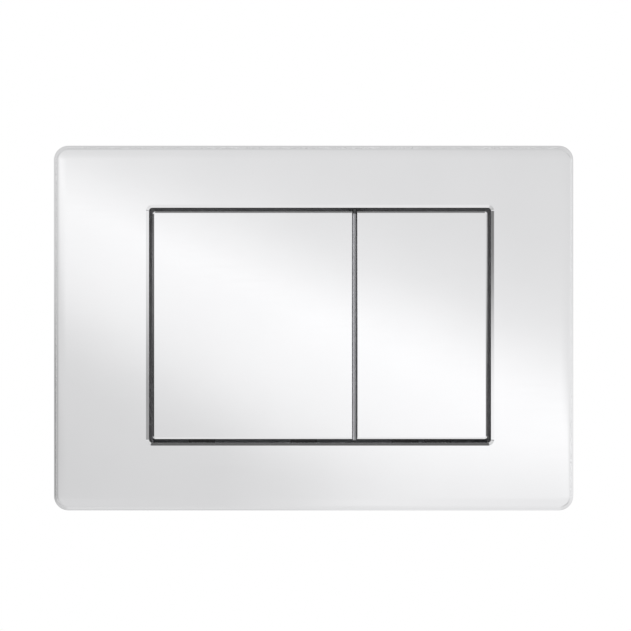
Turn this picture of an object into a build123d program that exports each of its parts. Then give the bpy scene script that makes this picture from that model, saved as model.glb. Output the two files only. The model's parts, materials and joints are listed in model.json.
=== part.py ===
from build123d import *
import os
from math import asin, cos, pi, sin

# Flush button plate for a concealed cistern.
# The plate faces -Y, +Z is up, and the wall is the plane y = 0.
# A level is a distance in front of the wall, so it is negative inside the wall.

# Fascia
PLATE_WIDTH = 235.0
PLATE_HEIGHT = 165.0
PLATE_DEPTH = 11.0
PLATE_CORNER_R = 6.5
PLATE_WALL = 2.2
RIM_EDGE_R = 2.2
RIM_CROWN_R = 150.0
CROWN_CORNER_R = 0.5
FASCIA_RIB_WALL = 1.2
FASCIA_RIB_DEPTH = 2.3
FASCIA_RIB_ROWS = 5
FASCIA_RIB_COLUMNS = 8
FASCIA_RIB_PITCH = 27.0

# Opening for the buttons
OPENING_WIDTH = 154.6
OPENING_HEIGHT = 106.2
OPENING_X = 2.9
OPENING_Z = 1.3
OPENING_CORNER_R = 1.5
OPENING_BEVEL = 1.3
OPENING_BEVEL_DEPTH = 0.75
COLLAR_WALL = 1.6
COLLAR_DEPTH = 5.4

# Buttons
BUTTON_GAP = 1.7
DIVIDER_GAP = 2.2
FULL_BUTTON_WIDTH = 90.15
BUTTON_FACE_WALL = 2.2
BUTTON_SKIRT_WALL = 1.8
BUTTON_SKIRT_DEPTH = 5.4
BUTTON_CORNER_R = 1.2
BUTTON_BEVEL = 0.7
BUTTON_BEVEL_DEPTH = 0.45
BUTTON_INNER_R = 0.3
BUTTON_RIB_WALL = 1.2
BUTTON_RIB_DEPTH = 2.4
BUTTON_RIB_ROWS = 4
BUTTON_RIB_PITCH = 18.0

# Hinges
HINGE_BELOW_EDGE = 6.4
HINGE_LEVEL = 4.0
PIN_R = 1.5
PIN_RUN_CLEARANCE = 0.05
PIN_SEAT_CLEARANCE = 0.02
PIN_OVERHANG = 1.0
PIN_CHAMFER = 0.3
KNUCKLE_R = 3.0
KNUCKLE_SIDE_CLEARANCE = 0.4
KNUCKLE_SPACE = 1.5
EAR_WIDTH = 4.0
EAR_INSET = 14.0
LUG_WIDTH = 4.0

# Stops at rest
TAB_WIDTH = 12.0
TAB_WALL = 2.0
TAB_INSET = 22.0
TAB_OVERREACH = 1.0
PAD_WALL = 1.0
PAD_CLEARANCE = 0.05
PAD_INSET = 0.1

# Button carrier
CARRIER_WALL = 2.4
CARRIER_LEVEL = 2.4
CARRIER_SIDE_BORDER = 8.7
CARRIER_END_BORDER = 11.0
CARRIER_CORNER_R = 4.0
CARRIER_SIDE_CLEARANCE = 0.6
CARRIER_TAB_CLEARANCE = 0.8
CARRIER_EAR_CLEARANCE = 0.7
CARRIER_RIB_WALL = 1.2
CARRIER_RIB_HEIGHT = 1.8
DIVIDER_CLEARANCE = 0.3
DIVIDER_ROUND = 0.7
DIVIDER_RECESS = 1.2
DIVIDER_END_CLEARANCE = 0.5

# Carrier screws
SCREW_BORDER = 6.6
SCREW_PITCH = 73.0
SCREW_COLUMNS = 3
SCREW_R = 1.45
SCREW_SEAT_CLEARANCE = 0.02
SCREW_HOLE_CLEARANCE = 0.25
SCREW_LENGTH = 5.6
SCREW_HEAD_R = 2.9
SCREW_HEAD_HEIGHT = 1.6
SCREW_HEAD_ROUND = 0.7
BOSS_R = 3.0

# Push rods
ROD_SPACING = 70.0
ROD_Z = -14.0
ROD_R = 5.0
ROD_GUIDE_CLEARANCE = 0.08
ROD_TAIL_R = 4.0
ROD_BODY_LENGTH = 25.0
ROD_TAIL_LENGTH = 40.0
ROD_THREAD_R = 2.5
ROD_THREAD_LENGTH = 7.0
ROD_CHAMFER = 0.8
THREAD_CLEARANCE = 0.02
LOCK_NUT_ACROSS_FLATS = 8.0
LOCK_NUT_HEIGHT = 3.0
HEAD_R = 8.5
HEAD_WALL = 2.5
HEAD_ROUND = 0.8
HEAD_NECK_R = 5.0
HEAD_NECK_LENGTH = 3.0
HEAD_LEVEL = 3.5
PUSH_GAP = 0.3
PUSH_BOSS_R = 4.5
PUSH_BOSS_ROUND = 2.5

# Return springs
SPRING_MEAN_R = 6.5
SPRING_WIRE_R = 0.6
SPRING_TURNS = 5
SPRING_STEPS_PER_TURN = 14
SPRING_WIRE_SIDES = 6

# Mounting frame
FLANGE_INSET = 6.5
FLANGE_WALL = 2.0
FLANGE_CORNER_R = 5.0
TRAY_SIDE_BORDER = 17.7
TRAY_END_BORDER = 12.9
TRAY_WALL = 2.0
TRAY_DEPTH = 20.2
TRAY_BACK_WALL = 2.2
TRAY_CORNER_R = 6.0
WINDOW_WIDTH = 132.0
WINDOW_CORNER_R = 3.0
UPPER_SILL = 8.0
LOWER_SILL = 18.0
BRIDGE_Z = -10.0
BRIDGE_HEIGHT = 32.0
WEB_WIDTH = 10.0
LIP_WALL = 1.4
LIP_HEIGHT = 3.0
GUIDE_R = 8.0
GUIDE_LEVEL = -14.0
GUIDE_LENGTH = 16.0
GUSSET_WALL = 1.6
GUSSET_REACH = 3.6
GUSSET_HEIGHT = 7.0

# Hooks that hold the fascia on the mounting frame
HOOK_Z = 45.0
HOOK_WIDTH = 12.0
HOOK_WALL = 2.0
HOOK_ROOT = 1.6
HOOK_ROOT_DEPTH = 4.0
HOOK_TRAY_CLEARANCE = 0.6
HOOK_NOSE = 1.8
HOOK_NOSE_LENGTH = 3.4
HOOK_CATCH_LEVEL = -5.0
HOOK_WINDOW_CLEARANCE = 0.6
HOOK_CATCH_CLEARANCE = 0.2

# Fixing studs and thumb nuts
STUD_SPACING = 160.0
STUD_R = 4.0
STUD_LENGTH = 42.0
STUD_FRONT_R = 3.5
STUD_BACK_CLEARANCE = 0.5
STUD_FRONT_LENGTH = 14.0
STUD_CHAMFER = 0.8
STUD_SLOT_CLEARANCE = 0.4
STUD_SLOT_LENGTH = 15.0
NUT_FLANGE_R = 10.0
NUT_FLANGE_WALL = 4.0
NUT_HUB_R = 6.5
NUT_HEIGHT = 8.0
NUT_GRIPS = 12
NUT_GRIP_R = 1.6
NUT_ROUND = 0.6

# Levels and places that follow from the sizes above
FACE_BACK = PLATE_DEPTH - PLATE_WALL
COLLAR_BACK = PLATE_DEPTH - COLLAR_DEPTH
BUTTON_BACK = PLATE_DEPTH - BUTTON_FACE_WALL
SKIRT_BACK = PLATE_DEPTH - BUTTON_SKIRT_DEPTH
CARRIER_FRONT = CARRIER_LEVEL + CARRIER_WALL
DIVIDER_FRONT = PLATE_DEPTH - DIVIDER_RECESS
TAB_FRONT = COLLAR_BACK - PAD_WALL - PAD_CLEARANCE
HEAD_BACK = HEAD_LEVEL - HEAD_WALL
NECK_BACK = HEAD_BACK - HEAD_NECK_LENGTH
ROD_FRONT = NECK_BACK - LOCK_NUT_HEIGHT
TRAY_FLOOR = TRAY_BACK_WALL - TRAY_DEPTH
STUD_FRONT = -TRAY_DEPTH - STUD_BACK_CLEARANCE

FLANGE_WIDTH = PLATE_WIDTH - 2 * FLANGE_INSET
FLANGE_HEIGHT = PLATE_HEIGHT - 2 * FLANGE_INSET
TRAY_WIDTH = OPENING_WIDTH + 2 * TRAY_SIDE_BORDER
TRAY_HEIGHT = OPENING_HEIGHT + 2 * TRAY_END_BORDER
OPENING_LEFT = OPENING_X - OPENING_WIDTH / 2
OPENING_TOP = OPENING_Z + OPENING_HEIGHT / 2
OPENING_BOTTOM = OPENING_Z - OPENING_HEIGHT / 2
BUTTON_HEIGHT = OPENING_HEIGHT - 2 * BUTTON_GAP
BUTTON_TOP = OPENING_TOP - BUTTON_GAP
BUTTON_BOTTOM = OPENING_BOTTOM + BUTTON_GAP
FULL_LEFT = OPENING_LEFT + BUTTON_GAP
FULL_RIGHT = FULL_LEFT + FULL_BUTTON_WIDTH
HALF_LEFT = FULL_RIGHT + DIVIDER_GAP
HALF_RIGHT = OPENING_LEFT + OPENING_WIDTH - BUTTON_GAP
HALF_BUTTON_WIDTH = HALF_RIGHT - HALF_LEFT
DIVIDER_X = FULL_RIGHT + DIVIDER_GAP / 2
DIVIDER_WALL = DIVIDER_GAP - 2 * DIVIDER_CLEARANCE
HINGE_Z = BUTTON_TOP - HINGE_BELOW_EDGE
TAB_TIP = OPENING_BOTTOM - COLLAR_WALL - TAB_OVERREACH
CARRIER_WINDOW_TOP = HINGE_Z + KNUCKLE_R + CARRIER_EAR_CLEARANCE
CARRIER_WINDOW_BOTTOM = TAB_TIP - CARRIER_TAB_CLEARANCE
BRIDGE_TOP = BRIDGE_Z + BRIDGE_HEIGHT / 2
BRIDGE_BOTTOM = BRIDGE_Z - BRIDGE_HEIGHT / 2
TAB_SPAN = 2 * TAB_INSET
EAR_STEP = EAR_WIDTH / 2 + KNUCKLE_SIDE_CLEARANCE + LUG_WIDTH / 2
SCREW_ROW_PITCH = OPENING_HEIGHT + 2 * SCREW_BORDER
HINGE_POINT = (-HINGE_LEVEL, HINGE_Z)


def level(distance):
    """The plane parallel to the wall, this far in front of it."""
    return Plane.XZ.offset(distance)


def save(builder, name):
    """Name a finished piece and write it."""
    builder.part.label = name
    export_step(builder.part, f"parts/{name}.step")


def rim_point(center_inset, center_level, radius, angle):
    """A point of the rim's section at the plate's bottom edge, as (y, z)."""
    inset = center_inset - radius * sin(angle)
    return (-(center_level + radius * cos(angle)), inset - PLATE_HEIGHT / 2)


def ear_places(left, width):
    """The middles of a button's two hinge ears."""
    return (left + EAR_INSET, left + width - EAR_INSET)


def make_fascia():
    """Chromed cover: a shallow tray with a crowned rim, a collar round the opening and four hooks."""
    rim_width = PLATE_CORNER_R - CROWN_CORNER_R
    slope = asin((rim_width - RIM_EDGE_R) / (RIM_CROWN_R - RIM_EDGE_R))
    edge_level = PLATE_DEPTH - RIM_CROWN_R + (RIM_CROWN_R - RIM_EDGE_R) * cos(slope)
    crown_level = PLATE_DEPTH - RIM_CROWN_R
    spare = RIM_EDGE_R
    half_height = PLATE_HEIGHT / 2
    with BuildPart() as fascia:
        # Slab with the plate's outline
        with BuildSketch(level(0)):
            RectangleRounded(PLATE_WIDTH, PLATE_HEIGHT, PLATE_CORNER_R)
        extrude(amount=PLATE_DEPTH)

        # Crowned band and rounded edge, swept away along each half of the outline
        crown_start = rim_point(rim_width, crown_level, RIM_CROWN_R, 0)
        crown_middle = rim_point(rim_width, crown_level, RIM_CROWN_R, slope / 2)
        crown_end = rim_point(rim_width, crown_level, RIM_CROWN_R, slope)
        edge_middle = rim_point(RIM_EDGE_R, edge_level, RIM_EDGE_R, (slope + pi / 2) / 2)
        edge_end = rim_point(RIM_EDGE_R, edge_level, RIM_EDGE_R, pi / 2)
        for half_width in (-PLATE_WIDTH / 2, PLATE_WIDTH / 2):
            with BuildLine(level(0)) as half_outline:
                FilletPolyline(
                    (0, -half_height),
                    (half_width, -half_height),
                    (half_width, half_height),
                    (0, half_height),
                    radius=PLATE_CORNER_R,
                )
            with BuildSketch(Plane.YZ):
                with BuildLine():
                    ThreePointArc(crown_start, crown_middle, crown_end)
                    ThreePointArc(crown_end, edge_middle, edge_end)
                    Polyline(
                        edge_end,
                        (edge_end[0], -half_height - spare),
                        (-PLATE_DEPTH - spare, -half_height - spare),
                        (-PLATE_DEPTH - spare, crown_start[1]),
                        crown_start,
                    )
                make_face()
            sweep(path=half_outline.wire(), mode=Mode.SUBTRACT)

        # Hollow back
        with BuildSketch(level(0)):
            RectangleRounded(
                PLATE_WIDTH - 2 * PLATE_WALL,
                PLATE_HEIGHT - 2 * PLATE_WALL,
                PLATE_CORNER_R - PLATE_WALL,
            )
        extrude(amount=FACE_BACK, mode=Mode.SUBTRACT)

        # Stiffening ribs, and the collar round the opening
        with BuildSketch(level(FACE_BACK - FASCIA_RIB_DEPTH)):
            with GridLocations(0, FASCIA_RIB_PITCH, 1, FASCIA_RIB_ROWS):
                Rectangle(PLATE_WIDTH - PLATE_WALL, FASCIA_RIB_WALL)
            with GridLocations(FASCIA_RIB_PITCH, 0, FASCIA_RIB_COLUMNS, 1):
                Rectangle(FASCIA_RIB_WALL, PLATE_HEIGHT - PLATE_WALL)
        extrude(amount=FASCIA_RIB_DEPTH)
        with BuildSketch(level(COLLAR_BACK)):
            with Locations((OPENING_X, OPENING_Z)):
                RectangleRounded(
                    OPENING_WIDTH + 2 * COLLAR_WALL,
                    OPENING_HEIGHT + 2 * COLLAR_WALL,
                    OPENING_CORNER_R + COLLAR_WALL,
                )
        extrude(amount=COLLAR_DEPTH - PLATE_WALL)

        # Opening with a bevelled front edge
        with BuildSketch(level(0)):
            with Locations((OPENING_X, OPENING_Z)):
                RectangleRounded(OPENING_WIDTH, OPENING_HEIGHT, OPENING_CORNER_R)
        extrude(amount=PLATE_DEPTH, mode=Mode.SUBTRACT)
        front = fascia.faces().sort_by(Axis.Y)[0]
        chamfer(
            front.inner_wires()[0].edges(),
            length=OPENING_BEVEL,
            length2=OPENING_BEVEL_DEPTH,
            reference=front,
        )

        # Bosses that the carrier is screwed to
        with BuildSketch(level(CARRIER_FRONT)):
            with Locations((OPENING_X, OPENING_Z)):
                with GridLocations(SCREW_PITCH, SCREW_ROW_PITCH, SCREW_COLUMNS, 2):
                    Circle(BOSS_R)
        extrude(amount=FACE_BACK - CARRIER_FRONT)
        with BuildSketch(level(CARRIER_FRONT)):
            with Locations((OPENING_X, OPENING_Z)):
                with GridLocations(SCREW_PITCH, SCREW_ROW_PITCH, SCREW_COLUMNS, 2):
                    Circle(SCREW_R + SCREW_SEAT_CLEARANCE)
        extrude(amount=SCREW_LENGTH - CARRIER_WALL + SCREW_SEAT_CLEARANCE, mode=Mode.SUBTRACT)

        # Hooks
        outer = TRAY_WIDTH / 2 - HOOK_TRAY_CLEARANCE
        inner = outer - HOOK_WALL
        nose_end = HOOK_CATCH_LEVEL - HOOK_NOSE_LENGTH
        for z in (-HOOK_Z, HOOK_Z):
            with BuildSketch(Plane.XY.offset(z)):
                with BuildLine():
                    Polyline(
                        (inner, HOOK_ROOT_DEPTH - FACE_BACK),
                        (inner - HOOK_ROOT, -FACE_BACK),
                        (outer, -FACE_BACK),
                        (outer, -HOOK_CATCH_LEVEL),
                        (outer + HOOK_NOSE, -HOOK_CATCH_LEVEL),
                        (outer, -nose_end),
                        (inner, -nose_end),
                        close=True,
                    )
                make_face()
                mirror(about=Plane.YZ)
            extrude(amount=HOOK_WIDTH / 2, both=True)
    save(fascia, "fascia")


def make_button(name, left, width, rod_x):
    """Chromed button: a shallow cap with ribs, two hinge ears, a push boss and two stop tabs."""
    middle = (left + width / 2, OPENING_Z)
    rib_top = HINGE_Z - KNUCKLE_R - KNUCKLE_SPACE
    inside_bottom = BUTTON_BOTTOM + BUTTON_SKIRT_WALL
    boss_tip = HEAD_LEVEL + PUSH_GAP
    divider_front = (DIVIDER_X, -PLATE_DEPTH, OPENING_Z)
    with BuildPart() as button:
        # Cap with bevelled outer edges and a small round at the edge beside the divider
        with BuildSketch(level(SKIRT_BACK)) as outline:
            with Locations(middle):
                Rectangle(width, BUTTON_HEIGHT)
            outer_corners = outline.vertices().sort_by_distance((DIVIDER_X, OPENING_Z))[2:]
            fillet(outer_corners, radius=BUTTON_CORNER_R)
        extrude(amount=BUTTON_SKIRT_DEPTH)
        front = button.faces().sort_by(Axis.Y)[0]
        chamfer(
            front.edges().sort_by_distance(divider_front)[1:],
            length=BUTTON_BEVEL,
            length2=BUTTON_BEVEL_DEPTH,
            reference=front,
        )
        front = button.faces().sort_by(Axis.Y)[0]
        fillet(front.edges().sort_by_distance(divider_front)[0], radius=BUTTON_INNER_R)
        with BuildSketch(level(SKIRT_BACK)):
            with Locations(middle):
                Rectangle(width - 2 * BUTTON_SKIRT_WALL, BUTTON_HEIGHT - 2 * BUTTON_SKIRT_WALL)
        extrude(amount=BUTTON_BACK - SKIRT_BACK, mode=Mode.SUBTRACT)

        # Boss that pushes on the rod head
        with BuildSketch(level(boss_tip)):
            with Locations((rod_x, ROD_Z)):
                Circle(PUSH_BOSS_R)
        extrude(amount=BUTTON_BACK - boss_tip)
        tip = button.faces().filter_by(Axis.Y).sort_by(Axis.Y)[-1]
        fillet(tip.edges(), radius=PUSH_BOSS_ROUND)

        # Ribs behind the face, below the hinge
        with BuildSketch(level(BUTTON_BACK - BUTTON_RIB_DEPTH)):
            with Locations((middle[0], rib_top), (middle[0], ROD_Z)):
                Rectangle(width - BUTTON_SKIRT_WALL, BUTTON_RIB_WALL)
            with Locations((middle[0], (rib_top + inside_bottom) / 2)):
                with GridLocations(BUTTON_RIB_PITCH, 0, BUTTON_RIB_ROWS, 1):
                    Rectangle(BUTTON_RIB_WALL, rib_top - inside_bottom + BUTTON_SKIRT_WALL)
        extrude(amount=BUTTON_RIB_DEPTH)

        # Hinge ears
        for x in ear_places(left, width):
            with BuildSketch(Plane.YZ.offset(x - EAR_WIDTH / 2)):
                with Locations(HINGE_POINT):
                    Circle(KNUCKLE_R)
                    Rectangle(
                        BUTTON_BACK - HINGE_LEVEL,
                        2 * KNUCKLE_R,
                        align=(Align.MAX, Align.CENTER),
                    )
                    Circle(PIN_R + PIN_RUN_CLEARANCE, mode=Mode.SUBTRACT)
            extrude(amount=EAR_WIDTH)

        # Stop tabs that reach behind the fascia's collar
        for x in (left + TAB_INSET, left + width - TAB_INSET):
            with BuildSketch(Plane.YZ.offset(x - TAB_WIDTH / 2)):
                with BuildLine():
                    Polyline(
                        (-SKIRT_BACK, BUTTON_BOTTOM),
                        (-SKIRT_BACK, inside_bottom),
                        (TAB_WALL - TAB_FRONT, inside_bottom),
                        (TAB_WALL - TAB_FRONT, TAB_TIP),
                        (-TAB_FRONT, TAB_TIP),
                        (-TAB_FRONT, BUTTON_BOTTOM),
                        close=True,
                    )
                make_face()
            extrude(amount=TAB_WIDTH)
    save(button, name)


def make_stop_pads(name, left, width):
    """Two rubber pads on the fronts of a button's tabs, which stop against the collar."""
    with BuildPart() as pads:
        with BuildSketch(level(TAB_FRONT)):
            with Locations((left + width / 2, (TAB_TIP + BUTTON_BOTTOM) / 2)):
                with GridLocations(width - TAB_SPAN, 0, 2, 1):
                    Rectangle(TAB_WIDTH, BUTTON_BOTTOM - TAB_TIP - 2 * PAD_INSET)
        extrude(amount=PAD_WALL)
    save(pads, name)


def make_hinge_pin(name, left, width):
    """Plain steel pin through the ears and lugs of one button."""
    reach = EAR_INSET - EAR_STEP - LUG_WIDTH / 2 - PIN_OVERHANG
    with BuildPart() as pin:
        with BuildSketch(Plane.YZ.offset(left + reach)):
            with Locations(HINGE_POINT):
                Circle(PIN_R)
        extrude(amount=width - 2 * reach)
        chamfer(pin.edges().filter_by(GeomType.CIRCLE), length=PIN_CHAMFER)
    save(pin, name)


def make_carrier():
    """Moulded ring behind the fascia, with hinge lugs and the rib between the buttons."""
    window_width = HALF_RIGHT - FULL_LEFT + 2 * CARRIER_SIDE_CLEARANCE
    window_height = CARRIER_WINDOW_TOP - CARRIER_WINDOW_BOTTOM
    window_z = (CARRIER_WINDOW_TOP + CARRIER_WINDOW_BOTTOM) / 2
    divider_top = OPENING_TOP - DIVIDER_END_CLEARANCE
    divider_foot = OPENING_BOTTOM + DIVIDER_END_CLEARANCE
    with BuildPart() as carrier:
        # Ring
        with BuildSketch(level(CARRIER_LEVEL)):
            with Locations((OPENING_X, OPENING_Z)):
                RectangleRounded(
                    OPENING_WIDTH + 2 * CARRIER_SIDE_BORDER,
                    OPENING_HEIGHT + 2 * CARRIER_END_BORDER,
                    CARRIER_CORNER_R,
                )
            with Locations((OPENING_X, window_z)):
                Rectangle(window_width, window_height, mode=Mode.SUBTRACT)
        extrude(amount=CARRIER_WALL)

        # Stiffening ribs behind the ring, round its edge and beside the window
        with BuildSketch(level(CARRIER_LEVEL - CARRIER_RIB_HEIGHT)):
            with Locations((OPENING_X, OPENING_Z)):
                RectangleRounded(
                    OPENING_WIDTH + 2 * CARRIER_SIDE_BORDER,
                    OPENING_HEIGHT + 2 * CARRIER_END_BORDER,
                    CARRIER_CORNER_R,
                )
                RectangleRounded(
                    OPENING_WIDTH + 2 * (CARRIER_SIDE_BORDER - CARRIER_RIB_WALL),
                    OPENING_HEIGHT + 2 * (CARRIER_END_BORDER - CARRIER_RIB_WALL),
                    CARRIER_CORNER_R - CARRIER_RIB_WALL,
                    mode=Mode.SUBTRACT,
                )
            with Locations((OPENING_X, window_z)):
                with GridLocations(window_width + CARRIER_RIB_WALL, 0, 2, 1):
                    Rectangle(CARRIER_RIB_WALL, window_height)
        extrude(amount=CARRIER_RIB_HEIGHT)

        # Rib between the buttons, lower where it passes the collar
        with BuildSketch(Plane.YZ.offset(DIVIDER_X - DIVIDER_WALL / 2)):
            with BuildLine():
                Polyline(
                    (-CARRIER_LEVEL, CARRIER_WINDOW_BOTTOM),
                    (-CARRIER_LEVEL, divider_top),
                    (-DIVIDER_FRONT, divider_top),
                    (-DIVIDER_FRONT, divider_foot),
                    (-CARRIER_FRONT, divider_foot),
                    (-CARRIER_FRONT, CARRIER_WINDOW_BOTTOM),
                    close=True,
                )
            make_face()
        extrude(amount=DIVIDER_WALL)
        front_edges = carrier.edges().filter_by(Axis.Z).group_by(Axis.Y)[0]
        fillet(front_edges, radius=DIVIDER_ROUND)

        # Hinge lugs on both sides of each ear
        ears = ear_places(FULL_LEFT, FULL_BUTTON_WIDTH) + ear_places(HALF_LEFT, HALF_BUTTON_WIDTH)
        for ear in ears:
            for side in (-EAR_STEP, EAR_STEP):
                with BuildSketch(Plane.YZ.offset(ear + side - LUG_WIDTH / 2)):
                    with Locations(HINGE_POINT):
                        Circle(KNUCKLE_R)
                    with Locations((-CARRIER_LEVEL, HINGE_Z)):
                        Rectangle(
                            CARRIER_WALL,
                            CARRIER_WINDOW_TOP - HINGE_Z,
                            align=(Align.MAX, Align.MIN),
                        )
                    with Locations(HINGE_POINT):
                        Circle(PIN_R + PIN_SEAT_CLEARANCE, mode=Mode.SUBTRACT)
                extrude(amount=LUG_WIDTH)

        # Screw holes
        with BuildSketch(level(CARRIER_LEVEL)):
            with Locations((OPENING_X, OPENING_Z)):
                with GridLocations(SCREW_PITCH, SCREW_ROW_PITCH, SCREW_COLUMNS, 2):
                    Circle(SCREW_R + SCREW_HOLE_CLEARANCE)
        extrude(amount=CARRIER_WALL, mode=Mode.SUBTRACT)
    save(carrier, "button_carrier")


def make_carrier_screws():
    """Six pan-head screws from the carrier's back into the fascia's bosses."""
    with BuildPart() as screws:
        with BuildSketch(level(CARRIER_LEVEL)):
            with Locations((OPENING_X, OPENING_Z)):
                with GridLocations(SCREW_PITCH, SCREW_ROW_PITCH, SCREW_COLUMNS, 2):
                    Circle(SCREW_R)
        extrude(amount=SCREW_LENGTH)
        with BuildSketch(level(CARRIER_LEVEL - SCREW_HEAD_HEIGHT)):
            with Locations((OPENING_X, OPENING_Z)):
                with GridLocations(SCREW_PITCH, SCREW_ROW_PITCH, SCREW_COLUMNS, 2):
                    Circle(SCREW_HEAD_R)
        extrude(amount=SCREW_HEAD_HEIGHT)
        backs = screws.faces().filter_by(Axis.Y).group_by(Axis.Y)[-1]
        fillet(backs.edges(), radius=SCREW_HEAD_ROUND)
    save(screws, "carrier_screws")


def make_mounting_frame():
    """Moulded wall frame: a flange, a shallow tray, two windows and a bridge with the rod guides."""
    rows = (
        (BRIDGE_TOP, TRAY_HEIGHT / 2 - UPPER_SILL),
        (LOWER_SILL - TRAY_HEIGHT / 2, BRIDGE_BOTTOM),
    )
    columns = (
        (-WINDOW_WIDTH / 2, DIVIDER_X - WEB_WIDTH / 2),
        (DIVIDER_X + WEB_WIDTH / 2, WINDOW_WIDTH / 2),
    )
    tray_mouth = FLANGE_WALL - TRAY_FLOOR
    with BuildPart() as frame:
        # Flange and tray
        with BuildSketch(level(0)):
            RectangleRounded(FLANGE_WIDTH, FLANGE_HEIGHT, FLANGE_CORNER_R)
        extrude(amount=FLANGE_WALL)
        with BuildSketch(level(-TRAY_DEPTH)):
            RectangleRounded(
                TRAY_WIDTH + 2 * TRAY_WALL,
                TRAY_HEIGHT + 2 * TRAY_WALL,
                TRAY_CORNER_R + TRAY_WALL,
            )
        extrude(amount=TRAY_DEPTH)
        with BuildSketch(level(TRAY_FLOOR)):
            RectangleRounded(TRAY_WIDTH, TRAY_HEIGHT, TRAY_CORNER_R)
        extrude(amount=tray_mouth, mode=Mode.SUBTRACT)

        # Four windows with a lip round each, between them the bridge and a web behind the buttons' gap
        for bottom, top in rows:
            for left, right in columns:
                middle = ((left + right) / 2, (bottom + top) / 2)
                with BuildSketch(level(TRAY_FLOOR)):
                    with Locations(middle):
                        RectangleRounded(
                            right - left + 2 * LIP_WALL,
                            top - bottom + 2 * LIP_WALL,
                            WINDOW_CORNER_R + LIP_WALL,
                        )
                extrude(amount=LIP_HEIGHT)
                with BuildSketch(level(-TRAY_DEPTH)):
                    with Locations(middle):
                        RectangleRounded(right - left, top - bottom, WINDOW_CORNER_R)
                extrude(amount=TRAY_BACK_WALL + LIP_HEIGHT, mode=Mode.SUBTRACT)

        # Guide tubes for the push rods, with gussets to the bridge's back
        with BuildSketch(level(GUIDE_LEVEL - GUIDE_LENGTH)):
            with Locations((0, ROD_Z)):
                with GridLocations(ROD_SPACING, 0, 2, 1):
                    Circle(GUIDE_R)
        extrude(amount=GUIDE_LENGTH)
        for rod_x in (-ROD_SPACING / 2, ROD_SPACING / 2):
            with BuildSketch(Plane.XY.offset(ROD_Z)):
                with BuildLine():
                    Polyline(
                        (rod_x - GUIDE_R - GUSSET_REACH, TRAY_DEPTH),
                        (rod_x + GUIDE_R + GUSSET_REACH, TRAY_DEPTH),
                        (rod_x + GUIDE_R, TRAY_DEPTH + GUSSET_HEIGHT),
                        (rod_x - GUIDE_R, TRAY_DEPTH + GUSSET_HEIGHT),
                        close=True,
                    )
                make_face()
            extrude(amount=GUSSET_WALL / 2, both=True)
            with BuildSketch(Plane.YZ.offset(rod_x)):
                with BuildLine():
                    Polyline(
                        (TRAY_DEPTH, ROD_Z - GUIDE_R - GUSSET_REACH),
                        (TRAY_DEPTH, ROD_Z + GUIDE_R + GUSSET_REACH),
                        (TRAY_DEPTH + GUSSET_HEIGHT, ROD_Z + GUIDE_R),
                        (TRAY_DEPTH + GUSSET_HEIGHT, ROD_Z - GUIDE_R),
                        close=True,
                    )
                make_face()
            extrude(amount=GUSSET_WALL / 2, both=True)
        with BuildSketch(level(GUIDE_LEVEL - GUIDE_LENGTH)):
            with Locations((0, ROD_Z)):
                with GridLocations(ROD_SPACING, 0, 2, 1):
                    Circle(ROD_R + ROD_GUIDE_CLEARANCE)
        extrude(amount=GUIDE_LENGTH, mode=Mode.SUBTRACT)

        # Slots for the fixing studs
        with BuildSketch(level(-TRAY_DEPTH)):
            with GridLocations(STUD_SPACING, 0, 2, 1):
                SlotOverall(STUD_SLOT_LENGTH, 2 * (STUD_FRONT_R + STUD_SLOT_CLEARANCE), rotation=90)
        extrude(amount=TRAY_BACK_WALL, mode=Mode.SUBTRACT)

        # Windows in the side walls for the fascia's hooks
        hook_top = HOOK_CATCH_LEVEL + HOOK_CATCH_CLEARANCE
        hook_bottom = HOOK_CATCH_LEVEL - HOOK_NOSE_LENGTH - HOOK_WINDOW_CLEARANCE
        with BuildSketch(Plane.YZ):
            with Locations((-(hook_top + hook_bottom) / 2, 0)):
                with GridLocations(0, 2 * HOOK_Z, 1, 2):
                    Rectangle(hook_top - hook_bottom, HOOK_WIDTH + 2 * HOOK_WINDOW_CLEARANCE)
        extrude(amount=TRAY_WIDTH / 2 + TRAY_WALL, both=True, mode=Mode.SUBTRACT)
    save(frame, "mounting_frame")


def make_push_rod(name, rod_x):
    """Turned rod: a guided body, a thinner tail to the cistern and a threaded front end."""
    with BuildPart() as rod:
        with BuildSketch(level(ROD_FRONT - ROD_BODY_LENGTH)):
            with Locations((rod_x, ROD_Z)):
                Circle(ROD_R)
        extrude(amount=ROD_BODY_LENGTH)
        with BuildSketch(level(ROD_FRONT)):
            with Locations((rod_x, ROD_Z)):
                Circle(ROD_THREAD_R)
        extrude(amount=ROD_THREAD_LENGTH)
        with BuildSketch(level(ROD_FRONT - ROD_BODY_LENGTH)):
            with Locations((rod_x, ROD_Z)):
                Circle(ROD_TAIL_R)
        extrude(amount=-ROD_TAIL_LENGTH)
        tail_end = rod.faces().filter_by(Axis.Y).sort_by(Axis.Y)[-1]
        chamfer(tail_end.edges(), length=ROD_CHAMFER)
    save(rod, name)


def make_rod_head(name, rod_x):
    """Screwed head that the button pushes on, with a neck inside the spring."""
    with BuildPart() as head:
        with BuildSketch(level(HEAD_BACK)):
            with Locations((rod_x, ROD_Z)):
                Circle(HEAD_R)
        extrude(amount=HEAD_WALL)
        front = head.faces().sort_by(Axis.Y)[0]
        fillet(front.edges(), radius=HEAD_ROUND)
        with BuildSketch(level(NECK_BACK)):
            with Locations((rod_x, ROD_Z)):
                Circle(HEAD_NECK_R)
        extrude(amount=HEAD_NECK_LENGTH)
        with BuildSketch(level(NECK_BACK)):
            with Locations((rod_x, ROD_Z)):
                Circle(ROD_THREAD_R + THREAD_CLEARANCE)
        extrude(amount=ROD_THREAD_LENGTH - LOCK_NUT_HEIGHT + THREAD_CLEARANCE, mode=Mode.SUBTRACT)
    save(head, name)


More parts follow.
